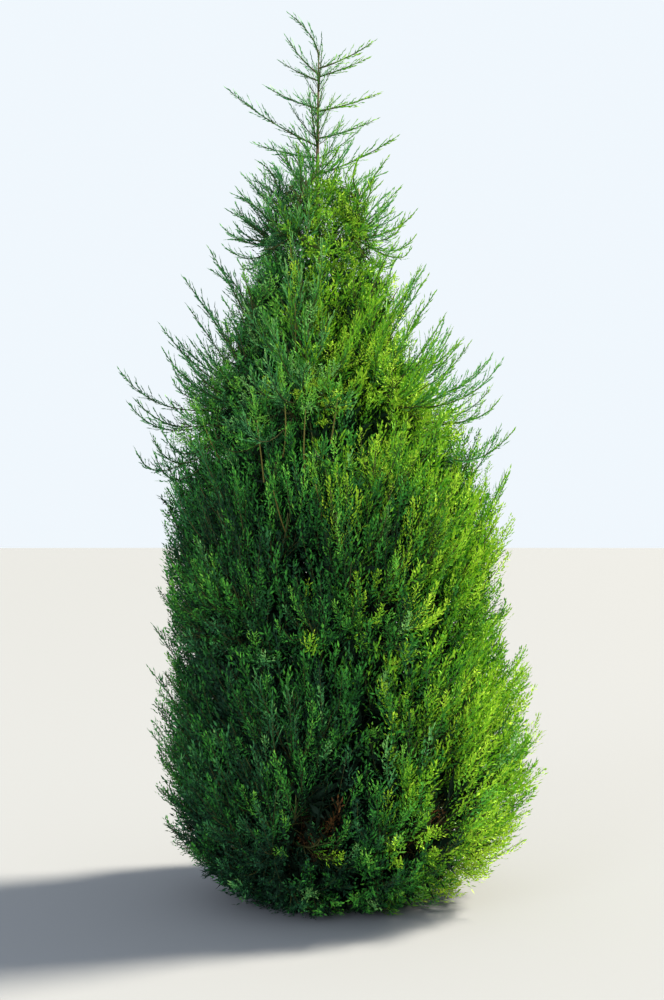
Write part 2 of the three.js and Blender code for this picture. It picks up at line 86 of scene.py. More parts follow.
# Tiers of masses, each between two cones, which are given by their height at the axis and their slope. A
# long shoot is a level and a distance past the skin. Then comes how much each mass carries: passes of main
# twigs, plumes on each twig, fillers between them, shoots beside each long one, and fronds inside it. The
# wood of a main twig ends at a share of its length, and the fronds at a share of the mass's height
# The fronds' colour is painted shade, near black in the lower tiers and lighter towards the neck
TIERS = [
    {"name": "skirt", "masses": 6, "first_azimuth": 15, "low": (22, 0), "high": (330, 1),
     "tip_lean": 38, "bough_radius": 12, "long_shoots": [(0.9, 45)],
     "passes": 3, "plumes": 9, "fillers": 95, "beside": 2, "wood_share": 0.8,
     "fronds": 430, "frond_depths": (0.15, 0.74), "frond_share": 1, "frond_painted_shade": "13261a"},
    {"name": "flank", "masses": 6, "first_azimuth": -8, "low": (330, 1), "high": (1416, 0.7),
     "tip_lean": 24, "bough_radius": 11, "long_shoots": [(0.93, 60)],
     "passes": 3, "plumes": 9, "fillers": 95, "beside": 2, "wood_share": 0.8,
     "fronds": 430, "frond_depths": (0.15, 0.74), "frond_share": 1, "frond_painted_shade": "13261a"},
    {"name": "shoulder", "masses": 6, "first_azimuth": 22, "low": (1416, 0.7), "high": (2350, 0.7),
     "tip_lean": 38, "bough_radius": 8, "long_shoots": [(0.1, 215), (0.42, 170), (0.72, 160)],
     "passes": 2, "plumes": 10, "fillers": 72, "beside": 7, "wood_share": 0.8,
     "fronds": 320, "frond_depths": (0.1, 0.66), "frond_share": 1, "frond_painted_shade": "1a3520"},
    {"name": "neck", "masses": 4, "first_azimuth": -22, "low": (2350, 0.7), "high": (2860, 0.5),
     "tip_lean": 44, "bough_radius": 5.5, "long_shoots": [(0.25, 100), (0.86, 115)],
     "passes": 2, "plumes": 6, "fillers": 28, "beside": 9, "wood_share": 0.6,
     "fronds": 10, "frond_depths": (0.02, 0.15), "frond_share": 0.62, "frond_painted_shade": "244826"},
]

# Boughs, stems and main twigs. A spread is a share of a mass's half width, a level a share of its height,
# and a depth a share of the way out to the skin
BOUGH_FOOT_LEVEL = 0.14
BOUGH_TIP_LEVEL = 0.3
BOUGH_TIP_DEPTH = 0.36
BOUGH_SPREAD = 0.25
BOUGH_TIP_SHARE = 0.5  # of its radius at its foot
BOUGH_LEAFED_FROM = 0.5  # of its length
LIMB_BEND_ALONG = 0.54
LIMB_BEND_RISE = 0.36
STEM_TIP_LEVEL = 0.84
STEM_TIP_DEPTH = 0.7
STEM_TIP_RADIUS = 2.5
STEM_BEND = 0.42
STEM_START = 0.35  # of the way up the limbs, where the stem takes over from the bough
TWIGS = 6
TWIG_SPREAD = 0.82
LATER_SPREAD = 1  # of the twigs that the solids don't have
TWIG_LOWEST = 0.06
TWIG_HIGHEST = 0.97
TWIG_DROP = 0.14
TWIG_FIRST_FOOT = 0.3
TWIG_LAST_FOOT = 0.92
TWIG_BEND = 0.5
TIP_LEAST_PAST = -45
TIP_MOST_PAST = 35
FLAT_LEAN = 72  # of the skirt's lowest twigs
FLAT_LEVEL = 0.45
SHOOT_SPREAD = 0.22
SHOOT_LEAST = 0.85
SHOOT_MOST = 1.1
GOLDEN_RATIO = 0.618034
GOLDEN_ANGLE = 2.39996
SEED = 3607
SEED_TIER = 97
SEED_MASS = 13
SEED_LAYOUT = 7
RANDOM_START = 69621
RANDOM_STEP = 48271
RANDOM_LIMIT = 2147483647
LENGTH_STEPS = 8  # that a curve's length is measured in

# Shoots of the open top: foot height, azimuth, reach and tip height
LEADER_SHOOTS = [
    (3360, 165, 135, 3520), (3384, 14, 224, 3508), (3348, -24, 208, 3392), (3332, 200, 158, 3388),
    (3290, 275, 165, 3400), (3205, 8, 240, 3285), (3216, 168, 212, 3316), (3180, 95, 200, 3330),
    (3092, 20, 246, 3192), (3060, 187, 364, 3274), (3050, 262, 230, 3200), (3010, 160, 272, 3092),
    (2940, 2, 312, 3092),
]
TIP_SHOOT = (184, 110, 3600)  # azimuth, reach and tip height
TIP_BEND = 90
TIP_AIM = 10  # the trunk's last stretch, whose way the tip shoot goes on
LEADER_SCALES = (0.5, 1.05)

# Small twigs of the open top, from the trunk
TOP_TWIGS = 50
TOP_TWIG_HEIGHTS = (2650, 3345)
TOP_TWIG_CROWDING = 1.8  # towards the lowest
TOP_TWIG_RISES = [TOP_TWIG_HEIGHTS, (210, 60)]  # by height
TOP_TWIG_REACHES = [(2650, 2950, 3120, 3345), (240, 190, 95, 50)]  # by height
TOP_TWIG_RISE_VARIETY = (0.8, 1.2)
TOP_TWIG_REACH_VARIETY = (0.6, 1.1)
TOP_TWIG_SCALES = (0.4, 0.9)

# Plumes: those that each main twig carries are spread over a dome at its end
CLUSTER_WIDTH = 115  # from the middle of a dome to its side
CLUSTER_HEIGHT = 165
DOME_DEPTH = 30  # how far a dome's edge lies behind its middle
PLUME_PAST = (-75, 25)  # added to how far their twig reaches past the skin
PLUME_SIDE_JITTER = 0.03
PLUME_LEVEL_MOST = 1.1
PLUME_FOOT = 0.42  # of the way along the twig
PLUME_FOOT_SPREAD = 0.16
PLUME_SCALES = (0.85, 1.25)
PLUME_TURN = 1.1
PLUME_MIDDLE = 80  # below its tip
LEAN_BY_HEIGHT = [(0, 300, 600, 1000, 1800, 2100, 2700, 3100), (68, 42, 30, 25, 26, 34, 40, 36)]
HEADING_JITTER = 0.14
HOLD_BACK = [(0, 1500, 1850, 2300, 2450, 2650, 2900), (12, 15, 38, 50, 15, 35, 40)]  # by height
GROUND_SOFTENING = 30  # growth lower than this is pressed up off the ground

# Fillers: the plumes between the domes
FILLER_PAST = -62  # they end this far past the skin, so behind it
FILLER_PAST_JITTER = 40
FILLER_LEVELS = (-0.06, 1.06)
FILLER_SCALES = (1.05, 1.4)
THINNING = [(2600, 2800, 2950), (1, 0.65, 0.3)]  # how much is left of the neck's plumes, by height

# Shoots: shorter ones stand beside each long one, within these sides and levels from it
BESIDE_SIDES = (-0.75, 0.75)
BESIDE_LEVELS = (-0.3, 0.28)
BESIDE_REACHES = (0.25, 0.75)  # of its distance past the skin
BESIDE_WANDER = 32
SHOOT_TURN = 0.35
SHOOT_SCALES = (0.9, 1.1)

# A second spray on the shoots of the open top, and on those that stand well past the skin, ends part way up
LEADER_FIRST_PART = 0.6
SHOOT_FIRST_PART = 0.76
WELL_PAST = 70

# Kinds of spray. A shoot has its longest branchlets at its foot, and they lean to its upper side
SPRAY_LENGTH = 230
SPRAY_DEPTH_SHARE = 0.8  # of its width
PLUME = {"width": 75, "branchlets": 17, "angle": 0.64, "leafed_from": 0.75, "rise": 0, "is_shoot": False,
         "spacing": 10, "sprig_length": 15.5, "sprig_width": 5.7, "splay": 0.78}
FILLER = {**PLUME, "width": 86, "branchlets": 15, "angle": 0.7, "leafed_from": 0.8,
          "spacing": 11.5, "sprig_length": 16.5, "sprig_width": 6.4}
SHOOT = {"width": 104, "branchlets": 13, "angle": 0.7, "leafed_from": 0.12, "rise": 0.2, "is_shoot": True,
         "spacing": 8.5, "sprig_length": 18, "sprig_width": 5.4, "splay": 0.3}
PLUME_WIDTHS = (0.75, 0.85, 0.95, 1.05, 1.15, 1.25)
FILLER_TEMPLATES = 4
SHOOT_TEMPLATES = 6

# Branchlets, in chains of sprigs
BRANCHLET_FEET = (0.03, 0.97)  # of the spray's length
BRANCHLET_CURL = 0.35
ROLL_JITTER = 0.4
TOP_ANGLE_SHARE = 0.62  # of the lowest branchlet's angle
ANGLE_VARIETY = (0.85, 1.15)
SHOOT_FULLNESS = (1, 0.3)  # from its foot to its tip
PLUME_FULLNESS_SPAN = (0.25, 0.93)  # of a half wave
PLUME_FULLNESS_POWER = 0.8
REACH_VARIETY = (0.7, 1.25)
LAST_SPRIG_SHARE = 0.6  # how much of its last sprig counts in a branchlet's reach
TIP_SPLAY_SHARE = 0.25
SPLAY_JITTER = 0.3
SPRIG_GROWTH = (0.9, 1.2)  # from a branchlet's foot to its tip
SPRIG_VARIETY = (0.8, 1.2)
SPRIG_WIDEST = 0.4  # of the way along it
LEAST_SPACES = 2  # between a branchlet's sprigs
KEEL = 1.6  # how far a sprig's edges stand above its middle line
FACING_JITTER = 0.3

# Fronds behind the plumes, near black with painted shade
FROND_REACH = 0.16  # of the skin's radius
FROND_REACH_VARIETY = (0.7, 1.2)
FROND_BLADES = 5
FROND_BLADE_WIDTH = 22
FROND_JITTER = 0.55
FROND_LEVELS = (0, 0.97)

# Upright stems near the skin, bare below the plume at their end: azimuth and foot height of each. The group
# comes again on the other sides, turned and higher or lower
STEM_GROUP = [
    (-112, 1650), (-104, 1745), (-94, 1700), (-87, 1455), (-101, 1440), (-83, 1790), (-140, 1720),
    (-103, 2170), (-111, 2400),
]
STEM_GROUP_TURNS = [(0, 0), (122, -160), (231, 60)]
BARE_STEM_RISE = 310
BARE_STEM_RISE_VARIETY = (0.8, 1.15)
BARE_STEM_LEAN = 0.08  # round the trunk, from its foot to its tip
BARE_STEM_WANDER = 20
BARE_STEM_SHARE = 0.72
BARE_STEM_DEPTHS = (165, 0)  # behind the skin, at its foot and its tip
BARE_STEM_PLUME = 0.7
BARE_STEM_PLUME_TURN = 1
CLEARING_HALF_WIDTH = 27  # the plumes in front of a bare stem stand back
CLEARING_HEIGHTS = (15, 190)  # above the stem's foot
CLEARING_DEPTH = 70

# Hollows of dead sprays low on the crown: azimuth, height, half width and half height. Their edges are
# places on a scale that is 0 in the middle and 1 at the half width or the half height
HOLLOWS = [(-90, 365, 120, 215), (-50, 440, 68, 135), (62, 330, 85, 160), (168, 320, 90, 170)]
HOLLOW_DEPTH = 150
HOLLOW_EDGE = 1.5
DEAD_EDGE = 0.9

# Wood: radius at the foot and the tip, sides and steps. A bough's and a stem's radii come from their tier
BOUGH_MESH = (14, 24)
STEM_MESH = (10, 18)
TWIG_WOOD = (4, 1.5, 5, 7)
PLUME_WOOD = (2, 0.8, 3, 2)
SHOOT_WOOD = (3.6, 1, 4, 8)
BARE_STEM_WOOD = (3.4, 1.8, 6, 8)
LEADER_WOOD = (4, 1, 6, 10)
TOP_TWIG_WOOD = (2.5, 0.8, 4, 5)
WOOD_ASIDE = (0.31, -0.47, 0.83)  # a tube's first corner stands square to this way

# Colours of the sprays: families, each from dark to light. Which family and shade a spray gets is partly
# painted sunlight and shade
YELLOW_GREEN, DEEP_GREEN, BLUE_GREEN, DEAD = range(4)
FAMILY_NAMES = ["green", "deep", "blue", "dead"]
FAMILIES = [
    ["1b3d25", "2a5c2c", "3b7b2b", "5b9b28", "7cb42a", "97c62e", "abd03a"],
    ["163724", "225429", "2f722d", "438f34", "5ea93a", "7fc046"],
    ["1d422c", "2b5f39", "3d7b46", "579a52", "7db562"],
    ["2c1f12", "47311b", "664524"],
]
BARK_COLOURS = [(0.3, "2f2619"), (0.5, "6a5740"), (0.7, "9a8365")]
TWIG_COLOUR = "464a28"
STEM_COLOUR = "6e6733"

# Painted sunlight: the side painted lighter and yellower, partly as foliage grown so in sun, by height, and
# how that side goes over into painted shade
SUN_AZIMUTHS = [(300, 1100, 1700, 2250), (28, 15, 15, -22)]
SUN_EDGE = 0.8  # half the width of the change, as a share of the crown's
SUN_VARIETY = 0.5  # how much more painted sun the lighter plumes get, between shade and sun

# Shares of the families. A pair is for shade and for full sun: below 0 is none, and above 1 is all.
# Blue-green in shade is partly the foliage's own, partly painted sky-lit shade
YELLOW_GREEN_SHARES = (-0.85, 1.55)
SHOOT_BLUE_SHARES = (0.85, 0.3)
BLUE_SHARES = [(400, 1300, 1900, 2300), (0.4, 0.1, 0.25, 0.8)]  # in shade, by height: partly painted sky-lit shade
BLUE_FADE = 1.5  # towards the sun
DEAD_SHARE = 0.65  # of the plumes in a hollow's dead part

# Shades, counted from a family's darkest. A pair is for shade and for full sun, and two rows are by height.
# The lighter shades in sun are painted sunlight, in part the foliage's own tone
PLUME_SHADES = (0.45, 2.9)
PLUME_SHADES_POWER = 1.15
SHOOT_SHADES = (0.5, 2.1)
TOP_SHADES = (0.8, 2)
STEM_PLUME_SHADES = (1, 2.9)
SUNNY_PAINTED_LIGHT = [(300, 1200, 1700, 2200), (2.4, 0.4, 0, -1.1)]  # painted sunlight on the sunlit side, by height
FOOT_PAINTED_SHADE = [(100, 550), (-1.5, 0)]  # painted shade low on the shaded side
# Painted light on the upper crown, weaker on the shaded side
TOP_PAINTED_LIGHT = [(1620, 2030, 2500, 2900), (0, 1.9, 1.8, 1.4)]
TOP_PAINTED_LIGHT_SHARES = (0.7, 1.05)
REAR_LESS_PAINTED_SUN = [(-0.45, 0.5), (0, -1.5)]  # in sun, less painted sunlight towards the rear, by the sine of the azimuth, from front to rear
DEPTH_PAINTED_SHADE = 0.013  # lighter for each millimetre further out: painted shade deeper in, and older foliage there
ZONES = 2.64  # from a plume's foot to its tips, lighter outwards: young growth at the tips, and painted shade deeper in
ZONES_BY_SPRAY = 0.55  # the rest is from each branchlet's foot to its tip
TWIG_VARIETY = 0.55
PLUME_VARIETY = 0.8
SUNNY_VARIETY = 1.6  # how much more the plumes differ in sun: random tone spread wider as painted light and shade between plumes
FILLER_SHADES = (-0.4, 0.4)  # middle and spread, a little darker: painted shade behind the domes
TOP_TWIG_VARIETY = 0.4
TUFT_VARIETY = 0.9

# Finishes
BARK_STRETCH = (90, 90, 7)
BARK_DETAIL = 6
BARK_ROUGHNESS = 0.9
BARK_BUMP_STRENGTH = 0.6
BARK_BUMP_METRES = 0.003
WOOD_ROUGHNESS = 0.8
LEAF_ROUGHNESS = 0.7
SPECULAR = 0.12

# Floor, sky, lights and camera, in metres and degrees
FLOOR_RADIUS = 200
FLOOR_SIDES = 96
FLOOR_COLOUR = "7d8085"
FLOOR_ROUGHNESS = 0.9
SKY_COLOUR = "e6edf3"
SKY_STRENGTH = 1.1
KEY_DIRECTION = (0.73, 0.3, 0.8)
KEY_ANGLE = 12
KEY_ENERGY = 13.5
KEY_COLOUR = "fff4dd"
FILL_PLACE = (-10, -15, 9)
FILL_SIZE = 8
FILL_ENERGY = 1450
FILL_COLOUR = "eaf2ff"
CROWN_MIDDLE = (0, 0, 1.7)
CAMERA_PLACE = (0.041, -5.7, 1.44)
CAMERA_TILT = 91.57
CAMERA_LENS = 50
CAMERA_SENSOR = 36


def mix(a, b, share):
    return a + (b - a) * share


def seeded_random(seed):
    """The same numbers in the same order for one seed, from 0 to 1."""
    state = (seed * RANDOM_START) % RANDOM_LIMIT
    while True:
        state = (state * RANDOM_STEP) % RANDOM_LIMIT
        yield state / RANDOM_LIMIT


def unit(vectors):
    return vectors / np.linalg.norm(vectors, axis=-1, keepdims=True)


def trunk_centre(height):
    share = np.asarray(height) / TRUNK_TIP_HEIGHT
    return TRUNK_LEAN * share + TRUNK_BOW * np.sin(np.pi * np.minimum(share, 1))


def trunk_radius(height):
    left = np.maximum(0, 1 - np.asarray(height) / TRUNK_TIP_HEIGHT)
    taper = mix(TRUNK_TIP_RADIUS, TRUNK_FOOT_RADIUS, left ** TRUNK_TAPER)
    return taper + ROOT_FLARE * np.exp(-np.asarray(height) / ROOT_FLARE_HEIGHT)


def from_trunk(radius, azimuth, height):
    radius, azimuth, height = np.broadcast_arrays(radius, azimuth, height)
    x = trunk_centre(height) + radius * np.cos(azimuth)
    return np.stack([x, radius * np.sin(azimuth), height], axis=-1)


def crown_radius(height, azimuth):
    heights, radii = zip(*CROWN_PROFILE)
    facing = np.cos(azimuth)
    shift = FULL_SIDE_SHIFT * facing * np.clip((FULL_SIDE_TOP - height) / FULL_SIDE_FADE, 0, 1)
    nearness = np.exp(-(((height - BULGE_HEIGHT) / BULGE_SPREAD) ** 2))
    return np.interp(height, heights, radii) + shift + BULGE_REACH * np.maximum(0, facing) ** 2 * nearness


def level_height(tier, radius, level):
    low = tier["low"][0] + tier["low"][1] * radius
    high = tier["high"][0] + tier["high"][1] * radius
    return mix(low, high, level)


def skin_radius(cell, side, level, groove_share=GROOVE_SHARE):
    azimuth = cell["azimuth"] + side * cell["half_width"]
    groove = 1 - groove_share * side ** 4
    radius = crown_radius(level_height(cell["tier"], 0, level), azimuth)
    for _ in range(SKIN_STEPS):
        radius = (radius + groove * crown_radius(level_height(cell["tier"], radius, level), azimuth)) / 2
    return radius


def cell_point(cell, side, level, depth, past=0, groove_share=GROOVE_SHARE):
    """Places in a mass: side from -1 to 1, level and depth from 0 to 1, and millimetres past the skin."""
    side, level = np.asarray(side, float), np.asarray(level, float)
    radius = mix(INNER_RADIUS, skin_radius(cell, side, level, groove_share), depth) + past
    azimuth = cell["azimuth"] + side * cell["half_width"]
    return from_trunk(radius, azimuth, level_height(cell["tier"], radius, level))


def curve_point(curves, share):
    """Points on quadratic curves. curves is (..., 3, 3), and share fits in front of the last axis."""
    share = np.asarray(share)[..., None]
    foot, bend, tip = (curves[..., i, :] for i in range(3))
    return (1 - share) ** 2 * foot + 2 * share * (1 - share) * bend + share ** 2 * tip


def curve_heading(curves, share):
    share = np.asarray(share)[..., None]
    foot, bend, tip = (curves[..., i, :] for i in range(3))
    return unit((1 - share) * (bend - foot) + share * (tip - bend))


def first_part(curves, share):
    foot, bend = curves[:, 0], curves[:, 1]
    tip = curve_point(curves, np.full(len(curves), share))
    return np.stack([foot, mix(foot, bend, share), tip], axis=1)


def curve_length(curves):
    points = curve_point(curves[..., None, :, :], np.linspace(0, 1, LENGTH_STEPS + 1))
    return np.linalg.norm(np.diff(points, axis=-2), axis=-1).sum(axis=-1)


def limb_curve(foot, tip):
    bend = mix(foot, tip, LIMB_BEND_ALONG)
    bend[..., 2] = mix(foot[..., 2], tip[..., 2], LIMB_BEND_RISE)
    return np.stack([foot, bend, tip], axis=-2)


def bough_curve(cell):
    height = level_height(cell["tier"], 0, BOUGH_FOOT_LEVEL)
    foot = from_trunk(0, cell["azimuth"], height)
    return limb_curve(foot, cell_point(cell, cell["bough_side"], BOUGH_TIP_LEVEL, BOUGH_TIP_DEPTH))


def stem_curve(bough, cell):
    heading = curve_heading(bough, 1)
    foot = bough[2] + heading * SEAT_GAP
    tip = cell_point(cell, -cell["bough_side"], STEM_TIP_LEVEL, STEM_TIP_DEPTH)
    bend = foot + heading * STEM_BEND * np.linalg.norm(tip - foot)
    return np.stack([foot, bend, tip])


def heading_of(azimuth, lean):
    return np.stack([np.sin(lean) * np.cos(azimuth), np.sin(lean) * np.sin(azimuth), np.cos(lean)], axis=-1)


def twig_heading(cell, side, level):
    """The way that a main twig points where it reaches the skin."""
    is_skirt = cell["tier"]["name"] == "skirt"
    flat = np.maximum(0, 1 - level / FLAT_LEVEL) if is_skirt else np.zeros_like(level)
    lean = np.radians(mix(cell["tier"]["tip_lean"], FLAT_LEAN, flat))
    return heading_of(cell["azimuth"] + side * cell["half_width"], lean)


def plume_heading(cell, side, height, random):
    """The way that a plume points: its lean changes gently from the ground up."""
    lean = np.radians(np.interp(height, *LEAN_BY_HEIGHT))
    heading = heading_of(cell["azimuth"] + side * cell["half_width"], lean)
    return unit(heading + random.normal(0, HEADING_JITTER, heading.shape))


def curves_to(feet, tips, headings):
    reach = np.linalg.norm(tips - feet, axis=-1, keepdims=True)
    return np.stack([feet, tips - headings * TWIG_BEND * reach, tips], axis=-2)


def stem_feet(stem, level):
    """Where the growth that reaches the skin at a level leaves the stem: lower down."""
    start = (level - TWIG_DROP - BOUGH_TIP_LEVEL) / (STEM_TIP_LEVEL - BOUGH_TIP_LEVEL)
    return curve_point(stem, np.clip(start, TWIG_FIRST_FOOT, TWIG_LAST_FOOT))


def limb_feet(bough, stem, level):
    """Where the plumes between the main twigs leave the limbs: the lower ones leave the bough."""
    start = np.clip((level - TWIG_DROP) / (TWIG_HIGHEST - TWIG_DROP), 0, 1)
    on_bough = curve_point(bough, mix(BOUGH_LEAFED_FROM, 1, start / STEM_START))
    up_stem = mix(0, TWIG_LAST_FOOT, (start - STEM_START) / (1 - STEM_START))
    on_stem = curve_point(stem, np.clip(up_stem, 0, 1))
    return np.where((start < STEM_START)[..., None], on_bough, on_stem)


def twig_curves(cell, stem, side, level, past):
    tips = cell_point(cell, side, level, 1, past)
    return curves_to(stem_feet(stem, level), tips, twig_heading(cell, side, level))


def cells_of(tier, tier_index):
    cells = []
    for index in range(tier["masses"]):
        seed = SEED + SEED_TIER * tier_index + SEED_MASS * index
        random = seeded_random(seed + SEED_LAYOUT)
        cells.append({
            "tier": tier,
            "seed": seed,
            "name": f"{tier['name']}_{index + 1}",
            "azimuth": math.radians(tier["first_azimuth"] + 360 / tier["masses"] * index),
            "half_width": math.pi / tier["masses"],
            "bough_side": mix(-BOUGH_SPREAD, BOUGH_SPREAD, next(random)),
            "phase": next(random),
        })
    return cells


def main_twigs(cell):
    """Sides, levels and distances past the skin of the main twigs, and of the long shoots. The first pass
    is the solids' own, and the next ones go on round the same spiral between them."""
    random = seeded_random(cell["seed"])
    rows, shoots = [], []
    for number in range(cell["tier"]["passes"]):
        spread = TWIG_SPREAD if number == 0 else LATER_SPREAD
        for i in range(TWIGS):
            turn = (cell["phase"] + (i + TWIGS * number) * GOLDEN_RATIO) % 1
            level = mix(TWIG_LOWEST, TWIG_HIGHEST, (i + next(random)) / TWIGS)
            past = mix(TIP_LEAST_PAST, TIP_MOST_PAST, next(random))
            next(random)  # the turn of the solid plume's blade
            rows.append((spread * (2 * turn - 1), level, past))
        if number > 0:
            continue
        for level, past in cell["tier"]["long_shoots"]:
            side = mix(-SHOOT_SPREAD, SHOOT_SPREAD, next(random))
            shoots.append((side, level, past * mix(SHOOT_LEAST, SHOOT_MOST, next(random))))
    return np.array(rows), np.array(shoots)


def one_material(vertices, faces):
    """A part: vertices, triangles, and the number of each triangle's material, here 0 for all."""
    return vertices, faces, np.zeros(len(faces), int)


def joined(parts):
    starts = np.cumsum([0] + [len(vertices) for vertices, _, _ in parts[:-1]])
    vertices = np.concatenate([part[0] for part in parts])
    faces = np.concatenate([part[1] + start for part, start in zip(parts, starts)])
    return vertices, faces, np.concatenate([part[2] for part in parts])


def above_ground(part):
    """Presses up what would reach the ground, the more the lower it is."""
    vertices, faces, numbers = part
    low = vertices[:, 2] < GROUND_SOFTENING
    height = vertices[low, 2]
    vertices[low, 2] = GROUND_SOFTENING * np.exp((height - GROUND_SOFTENING) / GROUND_SOFTENING)
    return vertices, faces, numbers


def wall_faces(sides, steps):
    step, i = (grid.ravel() for grid in np.mgrid[0:steps, 0:sides])
    a, b = step * sides + i, step * sides + (i + 1) % sides
    return np.concatenate([np.stack([a, b, b + sides], 1), np.stack([a, b + sides, a + sides], 1)])


def cap_faces(sides, first):
    i = np.arange(1, sides - 1)
    return np.stack([np.full(sides - 2, first), first + i, first + i + 1], 1)


def tubes(curves, foot_radius, tip_radius, sides, steps):
    """Tapering tubes along curves, (n, 3, 3), with closed tips."""
    share = np.linspace(0, 1, steps + 1)
    points = curve_point(curves[:, None], share)
    heading = curve_heading(curves[:, None], share)
    across = unit(np.cross(heading, WOOD_ASIDE))
    upward = np.cross(heading, across)
    turns = np.arange(sides) * 2 * np.pi / sides
    ring = across[:, :, None] * np.cos(turns)[:, None] + upward[:, :, None] * np.sin(turns)[:, None]
    radii = mix(foot_radius, tip_radius, share)
    vertices = points[:, :, None] + ring * radii[:, None, None]
    faces = np.concatenate([wall_faces(sides, steps), cap_faces(sides, steps * sides)])
    starts = np.arange(len(curves))[:, None, None] * sides * (steps + 1)
    return one_material(vertices.reshape(-1, 3), (faces + starts).reshape(-1, 3))


def sprigs(feet, tips, width, keel, facing):
    """Pointed sprigs of two faces, folded along their middle line: vertices and faces."""
    axis = unit(tips - feet)
    across = unit(np.cross(axis, facing))
    raised = mix(feet, tips, SPRIG_WIDEST) + np.cross(axis, across) * keel
    vertices = np.stack([feet, raised + across * width / 2, tips, raised - across * width / 2], axis=1)
    faces = np.array([[0, 1, 2], [0, 2, 3]]) + np.arange(len(feet))[:, None, None] * 4
    return vertices.reshape(-1, 3), faces.reshape(-1, 3)


def fullness(kind, share):
    """How far a spray's branchlets reach at a share of its length, as a share of its half width."""
    if kind["is_shoot"]:
        return mix(*SHOOT_FULLNESS, share)
    return math.sin(math.pi * mix(*PLUME_FULLNESS_SPAN, share)) ** PLUME_FULLNESS_POWER


def branchlet_lines(random, kind, width):
    """The middle lines of a spray's branchlets, its own tip's first: foot, heading and length of each."""
    axis = np.array([0, 1.0, 0])
    leafed_from, angle, length = kind["leafed_from"], kind["angle"], kind["sprig_length"]
    lines = [(axis * leafed_from * SPRAY_LENGTH, axis, (1 - leafed_from) * SPRAY_LENGTH - length)]
    for j in range(kind["branchlets"]):
        share = (j + 0.5) / kind["branchlets"]
        roll = j * GOLDEN_ANGLE + random.uniform(-ROLL_JITTER, ROLL_JITTER)
        spread = mix(angle, TOP_ANGLE_SHARE * angle, share) * random.uniform(*ANGLE_VARIETY)
        reach = 0.5 * width * fullness(kind, share) * random.uniform(*REACH_VARIETY) / math.sin(angle)
        reach = max(reach - LAST_SPRIG_SHARE * length, kind["spacing"])
        upward = math.sin(spread) * math.sin(roll) * SPRAY_DEPTH_SHARE + kind["rise"]
        heading = unit(np.array([math.sin(spread) * math.cos(roll), math.cos(spread), upward]))
        lines.append((axis * mix(*BRANCHLET_FEET, share) * SPRAY_LENGTH, heading, reach))
    return lines


def spray(random, kind, width_share=1):
    """A spray along +Y, its broad side across X: vertices, faces, and the zone and the tuft of each face.
    Its branchlets are chains of sprigs that splay to either side and face away from its middle line."""
    feet, tips, alongs, tufts = [], [], [], []
    curl = np.array([0, BRANCHLET_CURL, 0])
    lines = branchlet_lines(random, kind, kind["width"] * width_share)
    for number, (foot, heading, reach) in enumerate(lines):
        beside = unit(np.cross(heading, random.normal(size=3)))
        count = max(LEAST_SPACES, round(reach / kind["spacing"]))
        for k in range(count + 1):
            along = k / count
            aside = (1 if k % 2 else -1) * kind["splay"] * mix(1, TIP_SPLAY_SHARE, along)
            jitter = random.normal(0, SPLAY_JITTER * kind["splay"], 3)
            turned = unit(heading + beside * aside + curl * along + jitter)
            length = kind["sprig_length"] * mix(*SPRIG_GROWTH, along) * random.uniform(*SPRIG_VARIETY)
            feet.append(foot + heading * reach * along + curl * reach * along ** 2 / 2)
            tips.append(feet[-1] + turned * length)
            alongs.append(along)
            tufts.append(number)
    feet, tips = np.array(feet), np.array(tips)
    outward = tips * [1, 0, 1]
    outward /= np.linalg.norm(outward, axis=1, keepdims=True) + kind["spacing"]
    facing = outward + random.normal(0, FACING_JITTER, feet.shape)
    vertices, faces = sprigs(feet, tips, kind["sprig_width"], KEEL, facing)
    zones = ZONES * mix(np.array(alongs), tips[:, 1] / SPRAY_LENGTH, ZONES_BY_SPRAY)
    return vertices, faces, np.repeat(zones, 2), np.repeat(tufts, 2)


def bend_along(vertices, curves, turns, scales):
    """Copies of a spray's vertices, one along each curve. The spray ends at the curve's tip."""
    lengths = curve_length(curves)
    used = np.minimum(SPRAY_LENGTH * scales, lengths)
    share = 1 - (1 - vertices[:, 1] / SPRAY_LENGTH) * (used / lengths)[:, None]
    on_curve = np.clip(share, 0, 1)
    heading = curve_heading(curves[:, None], on_curve)
    end = curve_heading(curves, np.ones(len(curves)))
    level = unit(np.cross(end, [0, 0, 1.0]))
    broad = level * np.cos(turns)[:, None] + np.cross(end, level) * np.sin(turns)[:, None]
    thin = unit(np.cross(broad[:, None], heading))
    broad = np.cross(heading, thin)
    past_tip = (share - on_curve) * lengths[:, None]
    size = scales[:, None]
    placed = curve_point(curves[:, None], on_curve) + heading * past_tip[..., None]
    placed += broad * (vertices[:, 0] * size)[..., None] + thin * (vertices[:, 2] * size)[..., None]
    return placed


def painted_sun_share(azimuth, height):
    """From 0 on the side in shade to 1 on the side in full sun, where sprays are painted lighter and
    yellower: partly sun-grown foliage, partly painted sunlight.
    """
    sunny = np.radians(np.interp(height, *SUN_AZIMUTHS))
    return np.clip(0.5 + 0.5 * np.cos(azimuth - sunny) / SUN_EDGE, 0, 1)


def material_numbers(families, shades, zones, tufts, random):
    """The material of each face: its plume's family, in one shade to a tuft, lighter towards its tip: young
    growth there, and painted shade deeper in.
    """
    sizes = np.array([len(family) for family in FAMILIES])
    starts = np.concatenate([[0], np.cumsum(sizes)[:-1]])
    variety = random.uniform(-TUFT_VARIETY, TUFT_VARIETY, (len(shades), tufts.max() + 1))[:, tufts]
    values = shades[:, None] + zones + variety
    values = np.clip(values, 0, sizes[families][:, None] - 1)
    return (starts[families][:, None] + values).astype(int)


